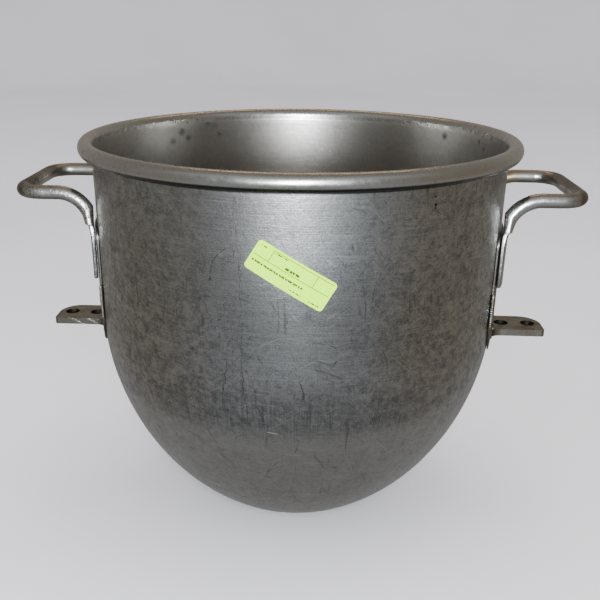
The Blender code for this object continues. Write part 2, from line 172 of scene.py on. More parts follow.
# Specks of something pale: centre and radius.
SPECKS = (
    ((-0.174, -0.094, 0.3615), 0.0016), ((-0.168, -0.098, 0.364), 0.0012),
    ((0.0211, 0.1847, 0.3249), 0.0016), ((0.0303, 0.1834, 0.323), 0.0013),
)


# ---- material building ----

def opaque(color):
    """A plain colour with its alpha added; a node's output as it is."""
    return color if isinstance(color, bpy.types.NodeSocket) else (*color, 1.0)


class Nodes:
    """Short ways of adding nodes to a tree."""

    def __init__(self, tree):
        self.tree = tree

    def put(self, node, socket, value):
        if isinstance(value, bpy.types.NodeSocket):
            self.tree.links.new(value, node.inputs[socket])
        else:
            node.inputs[socket].default_value = value

    def node(self, kind, inputs, output=0, **settings):
        """One output of a new node, once its settings and inputs are made."""
        node = self.tree.nodes.new(f"ShaderNode{kind}")
        for name, value in settings.items():
            setattr(node, name, value)
        for socket, value in inputs.items():
            self.put(node, socket, value)
        return node.outputs[output]

    def math(self, operation, first, second=0.0, clamp=False):
        return self.node("Math", {0: first, 1: second}, operation=operation, use_clamp=clamp)

    def times(self, first, second, clamp=False):
        return self.math("MULTIPLY", first, second, clamp)

    def plus(self, first, second, clamp=False):
        return self.math("ADD", first, second, clamp)

    def minus(self, first, second):
        return self.math("SUBTRACT", first, second)

    def vector(self, operation, *inputs, output="Vector"):
        return self.node("VectorMath", dict(enumerate(inputs)), output, operation=operation)

    def scaled(self, vector, factors):
        return self.vector("MULTIPLY", vector, factors)

    def moved(self, vector, offset):
        return self.vector("ADD", vector, offset)

    def turned(self, vector, angle):
        return self.node("VectorRotate", {"Vector": vector, "Angle": angle}, rotation_type="Z_AXIS")

    def joined(self, x, y):
        return self.node("CombineXYZ", {0: x, 1: y})

    def part(self, vector, axis):
        return self.node("SeparateXYZ", {0: vector}, axis)

    def noise(self, vector, scale, detail=3.0, roughness=0.5, distortion=0.0):
        return self.node("TexNoise", {"Vector": vector, "Scale": scale, "Detail": detail,
                                      "Roughness": roughness, "Distortion": distortion})

    def cells(self, vector, scale):
        return self.node("TexVoronoi", {"Vector": vector, "Scale": scale}, "Distance")

    def fit(self, value, low, high, to_low=0.0, to_high=1.0):
        """Map low..high to to_low..to_high, smoothly, and hold it there outside."""
        ends = {"From Min": low, "From Max": high, "To Min": to_low, "To Max": to_high}
        return self.node("MapRange", {"Value": value, **ends}, interpolation_type="SMOOTHSTEP")

    def mix(self, amount, first, second):
        return self.node("Mix", {0: amount, 6: opaque(first), 7: opaque(second)}, 2, data_type="RGBA")

    def paint(self, color, mask, strength, over):
        """The colour with another laid over it where the mask is on."""
        return self.mix(self.times(mask, strength), color, over)

    def scratches(self, vector, angle, length_scale, fine_scale, width, shift, cover=0.5):
        """Thin broken lines that run at an angle across a flat coordinate."""
        lined = self.moved(self.scaled(self.turned(vector, angle), (length_scale, fine_scale, 1.0)),
                           (shift, shift * 1.7, 0.0))
        level = self.noise(lined, 1.0, 1.0)
        line = self.fit(self.math("ABSOLUTE", self.minus(level, 0.5)), width, 0.0)
        broken = self.noise(self.moved(self.scaled(self.turned(vector, angle), (26.0, 90.0, 1.0)),
                                       (shift, 3.1, 0.0)), 1.0, 2.0)
        return self.times(line, self.fit(broken, cover, cover + 0.08))

    def segment(self, flat, start, end, half_width):
        """1 on a line drawn between two points of a flat coordinate, 0 away from it."""
        start, end = Vector((*start, 0.0)), Vector((*end, 0.0))
        run = end - start
        from_start = self.moved(flat, -start)
        along = self.vector("DOT_PRODUCT", from_start, run / run.length_squared, output="Value")
        share = self.times(along, 1.0, clamp=True)
        reached = self.node("VectorMath", {0: run, "Scale": share}, operation="SCALE")
        gap = self.vector("DISTANCE", from_start, reached, output="Value")
        return self.fit(gap, half_width, half_width * 0.3)

    def most(self, values):
        """The greatest of several values. Each is taken in as soon as its nodes exist."""
        found = None
        for value in values:
            found = value if found is None else self.math("MAXIMUM", found, value)
        return found


class Finish(Nodes):
    """One metal, paper or floor material."""

    def __init__(self, name, metallic):
        self.material = bpy.data.materials.new(name)
        self.material.use_nodes = True
        super().__init__(self.material.node_tree)
        self.shader = self.tree.nodes["Principled BSDF"]
        self.shader.inputs["Metallic"].default_value = metallic
        coords = self.tree.nodes.new("ShaderNodeTexCoord")
        self.place = coords.outputs["Object"]
        self.wrap = coords.outputs["UV"]
        self.normal = coords.outputs["Normal"]

    def near(self, centre, radius, softness):
        """1 within a ball round a point of the object, 0 outside."""
        gap = self.vector("DISTANCE", self.place, centre, output="Value")
        return self.fit(gap, radius, radius * (1 - softness))

    def color(self, value):
        self.put(self.shader, "Base Color", opaque(value))

    def rough(self, value):
        self.put(self.shader, "Roughness", value)

    def bump(self, height, distance, strength):
        inputs = {"Height": height, "Distance": distance, "Strength": strength}
        self.put(self.shader, "Normal", self.node("Bump", inputs, "Normal"))


# ---- mesh building ----

def grid_faces(rows, count):
    """Quads between rows of vertex indices; every row is a closed ring of count points."""
    faces = []
    for low in range(0, (rows - 1) * count, count):
        high = low + count
        for j in range(count):
            k = (j + 1) % count
            faces.append((low + j, low + k, high + k, high + j))
    return faces


def add_piece(name, verts, faces, finish, replaced, smooth_angle=40.0):
    """A closed mesh that faces out, rides on the body and stands for CAD nodes."""
    mesh = bpy.data.meshes.new(name)
    mesh.from_pydata([tuple(v) for v in verts], [], faces)
    data = bmesh.new()
    data.from_mesh(mesh)
    bmesh.ops.recalc_face_normals(data, faces=data.faces)
    if data.calc_volume(signed=True) < 0:
        bmesh.ops.reverse_faces(data, faces=data.faces)
    data.to_mesh(mesh)
    data.free()
    mesh.materials.append(finish.material)
    mesh.shade_smooth()
    mesh.set_sharp_from_angle(angle=radians(smooth_angle))
    piece = bpy.data.objects.new(name, mesh)
    bpy.context.scene.collection.objects.link(piece)
    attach(piece, "root")
    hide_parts(*replaced)
    return piece


def add_loft(name, rings, finish, replaced, smooth_angle=40.0):
    """A skin over rings of points, with a flat face at each end."""
    count = len(rings[0])
    verts = [point for ring in rings for point in ring]
    faces = grid_faces(len(rings), count)
    faces.append(tuple(range(count)))
    faces.append(tuple(range(len(verts) - count, len(verts))))
    return add_piece(name, verts, faces, finish, replaced, smooth_angle)


# ---- the bowl's shape ----

def wall_radius(z):
    """Outside radius at a height: a slightly tapered wall, then a blunt dome."""
    depth = HEIGHT - z
    straight = min(depth, WALL_DEPTH)
    radius = WALL_RADIUS - WALL_TAPER * straight
    fraction = (depth - straight) / DOME_DEPTH
    return radius * max(0.0, 1.0 - fraction ** DOME_POWER) ** (1.0 / DOME_POWER)


def dome_height(radius):
    """Height of the dome's outside at a radius."""
    base = WALL_RADIUS - WALL_TAPER * WALL_DEPTH
    fraction = (1.0 - (radius / base) ** DOME_POWER) ** (1.0 / DOME_POWER)
    return HEIGHT - WALL_DEPTH - DOME_DEPTH * fraction


def outer_skin():
    """(radius, height) points of the outside, from the foot's edge to the start of the bead."""
    start_radius = FOOT_RADIUS + FOOT_BLEND
    blend_start = Vector((FOOT_RADIUS - FOOT_BLEND, 0.0))
    blend_corner = Vector((FOOT_RADIUS, 0.0))
    blend_end = Vector((start_radius, max(dome_height(start_radius), 0.0)))
    points = []
    for step in range(FOOT_STEPS + 1):
        t = step / FOOT_STEPS
        point = (1 - t) ** 2 * blend_start + 2 * t * (1 - t) * blend_corner + t * t * blend_end
        points.append((point.x, point.y))
    base = WALL_RADIUS - WALL_TAPER * WALL_DEPTH
    first_angle = acos((start_radius / base) ** (DOME_POWER / 2))
    for step in range(1, DOME_STEPS + 1):
        angle = first_angle * (1 - step / DOME_STEPS)
        z = HEIGHT - WALL_DEPTH - DOME_DEPTH * sin(angle) ** (2 / DOME_POWER)
        points.append((wall_radius(z), z))
    low = HEIGHT - WALL_DEPTH
    high = BEAD_Z - BEAD_HALF_HEIGHT * 0.6
    for step in range(1, WALL_STEPS + 1):
        z = low + (high - low) * step / WALL_STEPS
        points.append((wall_radius(z), z))
    return points


def inset_path(points, distance):
    """The section line moved inwards, square to itself."""
    moved = []
    for i, (radius, z) in enumerate(points):
        before = points[max(i - 1, 0)]
        after = points[min(i + 1, len(points) - 1)]
        run = Vector((after[0] - before[0], after[1] - before[1])).normalized()
        moved.append((radius - run.y * distance, z + run.x * distance))
    return moved


def bead_arc(half_width, half_height, steps):
    """The rolled rim's oval section, from the wall over the top to its curled end."""
    points = []
    for step in range(steps + 1):
        angle = pi + (BEAD_CURL_END - pi) * step / steps
        radius = BEAD_RADIUS + half_width * cos(angle)
        points.append((radius, BEAD_Z + half_height * sin(angle)))
    return points


def sheet_waviness(angle, z):
    """How far the sheet lies inside its true surface at a place on the wall or dome."""
    fade = min(1.0, max(0.0, (BEAD_Z - 0.012 - z) / 0.03)) * min(1.0, max(0.0, (z - 0.012) / 0.03))
    if fade <= 0:
        return 0.0
    across = Vector((sin(angle), -cos(angle), 0.0)) * 1.5
    level = noise.noise(across + Vector((0, 0, z * 7)))
    level += 0.5 * noise.noise(across * 3 + Vector((0, 0, z * 22)))
    inward = 0.00022 * (1.0 + level)
    for knock_angle, knock_z, radius, depth in KNOCKS:
        turn = (angle - knock_angle + pi) % (2 * pi) - pi
        distance = hypot(turn * WALL_RADIUS, z - knock_z) / radius
        if distance < 1:
            inward += depth * (1 - distance ** 2) ** 2
    return inward * fade


def surface_radius(angle, z):
    """Radius of the finished outside, with its waviness."""
    return wall_radius(z) - sheet_waviness(angle, z)


def wrap_shell(piece, rows, lengths):
    """Flat coordinates for the shell: the way round it, and the way along its section."""
    layer = piece.data.uv_layers.new(name="wrap")
    for face in piece.data.polygons:
        places = []
        for loop in face.loop_indices:
            index = piece.data.loops[loop].vertex_index
            row, column = divmod(index, SPIN_SEGMENTS)
            if row >= rows:
                row = 0 if index == rows * SPIN_SEGMENTS else rows - 1
                column = face.vertices[0] % SPIN_SEGMENTS
            turn = column / SPIN_SEGMENTS
            places.append((loop, turn - 1 if turn > 0.5 else turn, lengths[row + 1]))
        turns = [turn for _, turn, _ in places]
        crosses = max(turns) - min(turns) > 0.5
        for loop, turn, length in places:
            if crosses and turn < 0:
                turn += 1
            layer.data[loop].uv = (turn * 2 * pi * WALL_RADIUS, length)


def build_bowl():
    """One closed sheet: the outside, the rolled rim and the inside, spun round the axis."""
    outside = outer_skin()
    inside = inset_path(outside, SHEET)
    inside[0] = (outside[0][0], SHEET)
    hollow = bead_arc(BEAD_HALF_WIDTH - SHEET, BEAD_HALF_HEIGHT - SHEET, CURL_STEPS)
    bead = bead_arc(BEAD_HALF_WIDTH, BEAD_HALF_HEIGHT, BEAD_STEPS)
    foot = [(outside[0][0] * step / FLAT_STEPS, 0.0) for step in range(1, FLAT_STEPS)]
    floor = [(radius, SHEET) for radius, _ in foot]
    tip_in, tip_out = Vector(hollow[-1]), Vector(bead[-1])
    along = Vector((tip_out.y - tip_in.y, tip_in.x - tip_out.x)).normalized() * SHEET * 0.35
    tip = [tuple(tip_in.lerp(tip_out, t) + along * sin(pi * t)) for t in (0.2, 0.5, 0.8)]
    section = foot + outside + hollow + tip + bead[::-1] + inside[::-1] + floor[::-1]
    lengths = [0.0]
    for before, after in zip([(0.0, 0.0)] + section, section):
        lengths.append(lengths[-1] + hypot(after[0] - before[0], after[1] - before[1]))
    rows = len(section)
    inside_start = lengths[rows - len(inside) - len(floor)]
    verts = []
    for radius, z in section:
        for i in range(SPIN_SEGMENTS):
            angle = 2 * pi * i / SPIN_SEGMENTS
            r = radius - (sheet_waviness(angle, z) if radius > FOOT_RADIUS else 0.0)
            verts.append((r * sin(angle), -r * cos(angle), z))
    faces = grid_faces(rows, SPIN_SEGMENTS)
    for row, z in ((0, 0.0), (rows - 1, SHEET)):
        verts.append((0.0, 0.0, z))
        start = row * SPIN_SEGMENTS
        for i in range(SPIN_SEGMENTS):
            faces.append((start + i, start + (i + 1) % SPIN_SEGMENTS, len(verts) - 1))
    piece = add_piece("bowl", verts, faces, shell_finish(inside_start), ["bowl_shell"],
                      60.0)
    wrap_shell(piece, rows, lengths)


# ---- mounting plates ----

def plate_inside(z):
    """Radius of a mounting plate's inner face."""
    return wall_radius(z) + GAP


def plate_outside(z):
    """Radius of a mounting plate's outer face."""
    return plate_inside(z) + PLATE_THICKNESS


def corner_cut(fraction, corner):
    """How far a rounded corner cuts into the plate's height at a share of its half width."""
    half_width = PLATE_HALF_ANGLE * WALL_RADIUS
    into_corner = max(0.0, abs(fraction) * half_width - (half_width - corner))
    return corner - sqrt(max(0.0, corner ** 2 - into_corner ** 2))


def build_plate(side, name, finish):
    """A thin curved plate that follows the wall, with rounded corners and softened edges."""
    rings = []
    for i in range(PLATE_COLUMNS + 1):
        fraction = sin(pi * (i / PLATE_COLUMNS - 0.5))
        low = PLATE_LOW.z + corner_cut(fraction, PLATE_BOTTOM_CORNER)
        high = PLATE_HIGH.z - corner_cut(fraction, PLATE_TOP_CORNER)
        angle = PLATE_HALF_ANGLE * fraction
        direction = Vector((side * cos(angle), sin(angle), 0.0))
        thin = (0.35, 0.8, 1.0)[min(i, PLATE_COLUMNS - i, 2)]
        heights = [low + (high - low) * row / PLATE_ROWS for row in range(1, PLATE_ROWS)]
        outer = [(low, 0.6), (low + PLATE_ROUNDING, 1.0)] + [(z, 1.0) for z in heights]
        outer += [(high - PLATE_ROUNDING, 1.0), (high, 0.6)]
        ring = [direction * plate_inside(z) + Vector((0, 0, z)) for z in [high] + heights[::-1] + [low]]
        for z, share in outer:
            radius = plate_inside(z) + PLATE_THICKNESS * share * thin
            ring.append(direction * radius + Vector((0, 0, z)))
        rings.append(ring)
    add_loft(f"{name}_plate", rings, finish, [f"{name}_mount_plate"])


# ---- handles ----

def section_ring(centre, thick_axis, wide_axis, half_thickness, half_width, squareness):
    """The handle's section: round where squareness is 2, and boxier above."""
    ring = []
    for i in range(ROD_SIDES):
        angle = 2 * pi * (i + 0.5) / ROD_SIDES
        c, s = cos(angle), sin(angle)
        thick = half_thickness * copysign(abs(c) ** (2 / squareness), c)
        wide = half_width * copysign(abs(s) ** (2 / squareness), s)
        ring.append(centre + thick_axis * thick + wide_axis * wide)
    return ring


def leg_contact_x(z):
    """X at which a leg's middle meets the plate."""
    return sqrt((plate_outside(z) + GAP) ** 2 - HANDLE_HALF_SPAN ** 2)


def leg_sections():
    """(inner point, outer point, half width, squareness) in the leg's X-Z plane, arm to strip end."""
    arm_z = HANDLE_HIGH.z - ROD_RADIUS
    centre = Vector((LEG_BEND_X, arm_z - LEG_BEND_RADIUS))
    sections = []
    for step in range(BEND_STEPS + 1):
        bend = ROUND_BEND_END * step / BEND_STEPS
        ray = Vector((-sin(bend), cos(bend)))
        sections.append((centre + ray * (LEG_BEND_RADIUS + ROD_RADIUS),
                         centre + ray * (LEG_BEND_RADIUS - ROD_RADIUS), ROD_RADIUS, 2.0))
    last_inner = sections[-1][0]
    shoulder_z = STRIP_TOP + 0.001
    for step in range(1, SHOULDER_STEPS + 1):
        t = step / SHOULDER_STEPS
        bend = ROUND_BEND_END + (SHOULDER_BEND - ROUND_BEND_END) * t
        ray = Vector((-sin(bend), cos(bend)))
        outer = centre + ray * (LEG_BEND_RADIUS - ROD_RADIUS)
        z = last_inner.y + (shoulder_z - last_inner.y) * t
        inner = Vector((max(leg_contact_x(z), last_inner.x), z))
        sections.append((inner, outer, ROD_RADIUS * (1 + 0.15 * t), 2.0 + 0.8 * t * t))
    shoulder = sections[-1]
    for t in (0.3, 0.6, 0.85):
        z = shoulder_z - 0.0035 * t
        inner = Vector((leg_contact_x(z), z))
        outer_end = inner + Vector((STRIP_THICKNESS * 1.25, 0.0))
        outer = shoulder[1].lerp(outer_end, t ** 0.8)
        sections.append((inner, outer, ROD_RADIUS * (1.15 + 0.2 * t), 2.8 + 1.4 * t))
    length = STRIP_TOP - STRIP_BOTTOM
    drops_and_widths = ((0.0035, 0.84), (0.006, 0.92), (0.01, 0.98), (0.016, 1.0), (0.025, 1.0),
                        (0.035, 1.0), (length - 0.001, 1.0), (length - 0.0002, 0.97), (length, 0.93))
    for row, (drop, width) in enumerate(drops_and_widths):
        z = STRIP_TOP - drop
        inner = Vector((leg_contact_x(z), z))
        outer = inner + Vector((STRIP_THICKNESS * (1.0 + 0.25 * exp(-row)), 0.0))
        sections.append((inner, outer, STRIP_WIDTH / 2 * width, 5.0))
    return sections


def dented(point):
    """A point of the rod moved by the rod's slight unevenness."""
    return point + noise.noise_vector(point * 160) * 0.00009


def on_side(side, ring):
    """A ring made for the right of the bowl, put on either side."""
    return [Vector((side * p.x, p.y, p.z)) for p in ring]


def leg_rings(side, front):
    """A leg's sections, turned to face the plate from its shoulder down."""
    leg_y = front * HANDLE_HALF_SPAN
    radial = Vector((leg_contact_x(STRIP_TOP), leg_y, 0.0)).normalized()
    rings = []
    for inner, outer, half_width, squareness in leg_sections():
        middle = (inner + outer) / 2
        across = outer - inner
        turned = min(1.0, (squareness - 2.0) / 0.8)
        outward = Vector((1, 0, 0)).lerp(radial, turned).normalized()
        thick_axis = (outward * across.x + Vector((0, 0, across.y))).normalized()
        wide_axis = outward.cross(Vector((0, 0, front))).normalized()
        centre = Vector((inner.x, leg_y, middle.y)) + outward * across.x / 2
        ring = section_ring(centre, thick_axis, wide_axis, across.length / 2, half_width, squareness)
        rings.append(on_side(side, ring))
    return rings


def straight_rings(first, last):
    """Rings filled in between two rings."""
    length = (sum(first, Vector()) / len(first) - sum(last, Vector()) / len(last)).length
    count = max(1, int(length / ROD_SPACING))
    return [[a.lerp(b, i / count) for a, b in zip(first, last)] for i in range(1, count)]


def arm_rings(side, front):
    """The round corner between an arm and the grip."""
    arm_z = HANDLE_HIGH.z - ROD_RADIUS
    reach = HANDLE_HIGH.x - ROD_RADIUS
    turn_x = reach - CORNER_RADIUS
    turn_y = HANDLE_HALF_SPAN - CORNER_RADIUS
    rings = []
    for step in range(CORNER_STEPS + 1):
        turn = pi / 2 * step / CORNER_STEPS
        centre = Vector((turn_x + CORNER_RADIUS * sin(turn),
                         front * (turn_y + CORNER_RADIUS * cos(turn)), arm_z))
        inward = Vector((-sin(turn), -front * cos(turn), 0.0))
        ring = section_ring(centre, Vector((0, 0, -1)), inward, ROD_RADIUS, ROD_RADIUS, 2.0)
        rings.append(on_side(side, ring))
    return rings


def build_handle(side, name, finish):
    """One bent rod: front strip and leg, front arm, grip, rear arm, rear leg and strip."""
    front_leg, front_arm = leg_rings(side, -1)[::-1], arm_rings(side, -1)
    rear_arm, rear_leg = arm_rings(side, 1)[::-1], leg_rings(side, 1)
    rings = front_leg + straight_rings(front_leg[-1], front_arm[0]) + front_arm
    rings += straight_rings(front_arm[-1], rear_arm[0]) + rear_arm
    rings += straight_rings(rear_arm[-1], rear_leg[0]) + rear_leg
    rings = [[dented(point) for point in ring] for ring in rings]
    add_loft(f"{name}_handle_rod", rings, finish, [f"{name}_handle"], 50.0)


# ---- mounting ears ----

def arc_points(centre, radius, start, end, steps):
    """Points along an arc, with both ends."""
    points = []
    for step in range(steps + 1):
        angle = start + (end - start) * step / steps
        points.append((centre[0] + radius * cos(angle), centre[1] + radius * sin(angle)))
    return points


def ear_outline():
    """Plan outline of the right ear, anticlockwise from its root's front end."""
    reach = EAR_HIGH.x
    root_radius = plate_outside(EAR_HIGH.z) + GAP
    root_angle = asin(EAR_ROOT_HALF_WIDTH / root_radius)
    flare_y = EAR_ROOT_HALF_WIDTH - EAR_HALF_WIDTH
    flare_x = root_radius * cos(root_angle) + EAR_FLARE
    front_flare = []
    flare_steps = 12
    for step in range(flare_steps + 1):
        t = pi / 2 * step / flare_steps
        front_flare.append((flare_x - EAR_FLARE * cos(t),
                            -EAR_ROOT_HALF_WIDTH + flare_y * sin(t)))
    front_corner = arc_points((reach - EAR_FRONT_CORNER, -EAR_HALF_WIDTH + EAR_FRONT_CORNER),
                              EAR_FRONT_CORNER, -pi / 2, 0.0, steps=6)
    rear_corner = arc_points((reach - EAR_REAR_CORNER, EAR_HALF_WIDTH - EAR_REAR_CORNER),
                             EAR_REAR_CORNER, 0.0, pi / 2, steps=24)
    rear_flare = [(x, -y) for x, y in front_flare[::-1]]
    root = arc_points((0.0, 0.0), root_radius, root_angle, -root_angle, steps=20)[1:-1]
    return front_flare + front_corner + rear_corner + rear_flare + root


def build_ear(side, name, finish):
    """A thick flat plate with two holes, its arrises softened."""
    data = bmesh.new()
    edges = []
    loops = [ear_outline()]
    for x in EAR_HOLES_X:
        loops.append(arc_points((x, 0.0), EAR_HOLE_RADIUS, 0.0, -2 * pi, steps=40)[:-1])
    for loop in loops:
        verts = [data.verts.new((side * x, y, EAR_LOW.z)) for x, y in loop]
        edges += [data.edges.new((a, b)) for a, b in zip(verts, verts[1:] + verts[:1])]
    bmesh.ops.triangle_fill(data, use_beauty=True, edges=edges)
    grown = bmesh.ops.extrude_face_region(data, geom=list(data.faces))
    for element in grown["geom"]:
        if isinstance(element, bmesh.types.BMVert):
            element.co.z = EAR_HIGH.z
    bmesh.ops.recalc_face_normals(data, faces=data.faces)
    sharp, level = radians(69.0), 1e-6
    arrises = [e for e in data.edges if len(e.link_faces) == 2 and e.calc_face_angle() > sharp
               and abs(e.verts[0].co.z - e.verts[1].co.z) < level]
    bmesh.ops.bevel(data, geom=arrises, offset=EAR_BEVEL, segments=3, profile=0.5, affect="EDGES",
                    clamp_overlap=True)
    verts = [v.co.copy() for v in data.verts]
    for index, vert in enumerate(data.verts):
        vert.index = index
    faces = [tuple(v.index for v in face.verts) for face in data.faces]
    data.free()
    piece = add_piece(f"{name}_ear", verts, faces, finish, [f"{name}_mount_ear"], 30.0)
    smoothing = piece.modifiers.new("flat_faces", "WEIGHTED_NORMAL")
    smoothing.keep_sharp = True


# ---- weld beads ----

def weld_rings(centre_at, length, seed):
    """Rings of a rippled bead. centre_at(t) gives the centre and two axes at a share of its length."""
    steps = max(12, int(length / WELD_SPACING))
    rings = []
    for step in range(steps + 1):
        t = step / steps
        centre, out_axis, side_axis = centre_at(t)
        end = min(1.0, sin(pi * (t * 0.94 + 0.03)) * 4) ** 0.5
        ripple = 1 + 0.1 * sin(2 * pi * t * length / WELD_RIPPLE)
        ring = []
        for i in range(WELD_SIDES):
            angle = 2 * pi * i / WELD_SIDES
            place = Vector((cos(angle), sin(angle), t * length * 260 + seed))
            radius = WELD_LEG / 2 * end * (ripple + 0.18 * noise.noise(place)) * 0.92
            outward, sideways = out_axis * radius * cos(angle), side_axis * radius * sin(angle)
            ring.append(centre + outward + sideways)
        rings.append(ring)
    return rings


def upright_weld(side, front, top, bottom, radius_at, angle_at):
    """Centre line of a bead that runs down a plate's or strip's edge."""
    def centre_at(t):
        z = top + (bottom - top) * t
        angle = angle_at(z)
        direction = Vector((side * cos(angle), front * sin(angle), 0.0))
        sideways = Vector((-side * sin(angle), front * cos(angle), 0.0))
        return direction * radius_at(z) + Vector((0, 0, z)), direction, sideways
    return centre_at


def build_welds(side, name, finish):
    """Beads down both edges of the plate and both strips, and along the ear's two faces."""
    bead = WELD_LEG / 2

    def lay(kind, end_name, centre_at, length, seed):
        rings = weld_rings(centre_at, length, seed + side)
        add_loft(f"{name}_{kind}_weld_bead_{end_name}", rings, finish,
                 [f"{name}_{kind}_weld_{end_name}"], 60.0)

    for number, (front, end_name) in enumerate(((-1, "front"), (1, "rear"))):
        top, bottom = STRIP_BOTTOM - 0.005, PLATE_LOW.z + PLATE_BOTTOM_CORNER
        line = upright_weld(side, front, top, bottom, lambda z: plate_inside(z) + bead,
                            lambda z: PLATE_HALF_ANGLE + (GAP + bead) / plate_inside(z))
        lay("plate", end_name, line, top - bottom, 3.0 * number)
        top, bottom = PLATE_HIGH.z - 0.004, STRIP_BOTTOM + 0.004
        line = upright_weld(side, front, top, bottom, lambda z: plate_outside(z) + GAP + bead,
                            lambda z: asin(HANDLE_HALF_SPAN / plate_outside(z))
                            - (STRIP_WIDTH / 2 + GAP + bead) / plate_outside(z))
        lay("leg", end_name, line, top - bottom, 9.0 + number)
    for above, end_name in ((1, "top"), (-1, "bottom")):
        face_z = EAR_HIGH.z if above > 0 else EAR_LOW.z
        z = face_z + above * (GAP + bead)
        reach = asin((EAR_HALF_WIDTH + 0.003) / plate_outside(z))

        def centre_at(t, z=z, reach=reach):
            angle = reach * (2 * t - 1)
            direction = Vector((side * cos(angle), sin(angle), 0.0))
            place = direction * (plate_outside(z) + GAP + bead) + Vector((0, 0, z))
            return place, direction, Vector((0, 0, 1))

        lay("ear", end_name, centre_at, 2 * reach * plate_outside(z), 17.0 + above)


# ---- label ----

def build_label(finish):
    """A rounded sheet of paper on the front of the wall, with its own flat coordinates."""
    columns, rows = 72, 10
    verts, places = [], []
    for i in range(columns + 1):
        along = sin(pi * (i / columns - 0.5)) * LABEL_WIDTH / 2
        into_corner = max(0.0, abs(along) - (LABEL_WIDTH / 2 - LABEL_CORNER))
        half = LABEL_HEIGHT / 2 - LABEL_CORNER
        half += sqrt(max(0.0, LABEL_CORNER ** 2 - into_corner ** 2))
        for lift, order in ((0.0, range(rows + 1)), (LABEL_THICKNESS, range(rows, -1, -1))):
            for j in order:
                across = half * (2 * j / rows - 1)
                arc = LABEL_ARC + along * cos(LABEL_TILT) - across * sin(LABEL_TILT)
                z = LABEL_CENTRE_Z + along * sin(LABEL_TILT) + across * cos(LABEL_TILT)
                angle = arc / wall_radius(LABEL_CENTRE_Z)
                curl = 0.0006 * max(0.0, (abs(along) / (LABEL_WIDTH / 2)) - 0.85) / 0.15
                radius = surface_radius(angle, z) + LABEL_GAP + lift + curl * (across / half) ** 2
                verts.append((radius * sin(angle), -radius * cos(angle), z))
                places.append((along, across))
    count = 2 * (rows + 1)
    faces = grid_faces(columns + 1, count)
    for start in (0, columns * count):
        for j in range(rows):
            faces.append((start + j, start + j + 1, start + count - 2 - j, start + count - 1 - j))
    piece = add_piece("paper_label", verts, faces, finish, ["lot_label"], 50.0)
    layer = piece.data.uv_layers.new(name="flat")
    for loop in piece.data.loops:
        layer.data[loop.index].uv = places[loop.vertex_index]


# ---- finishes ----

def front_point(angle, z):
    """A place on the outside, at an angle from the front towards +X."""
    radius = wall_radius(z)
    return (radius * sin(angle), -radius * cos(angle), z)


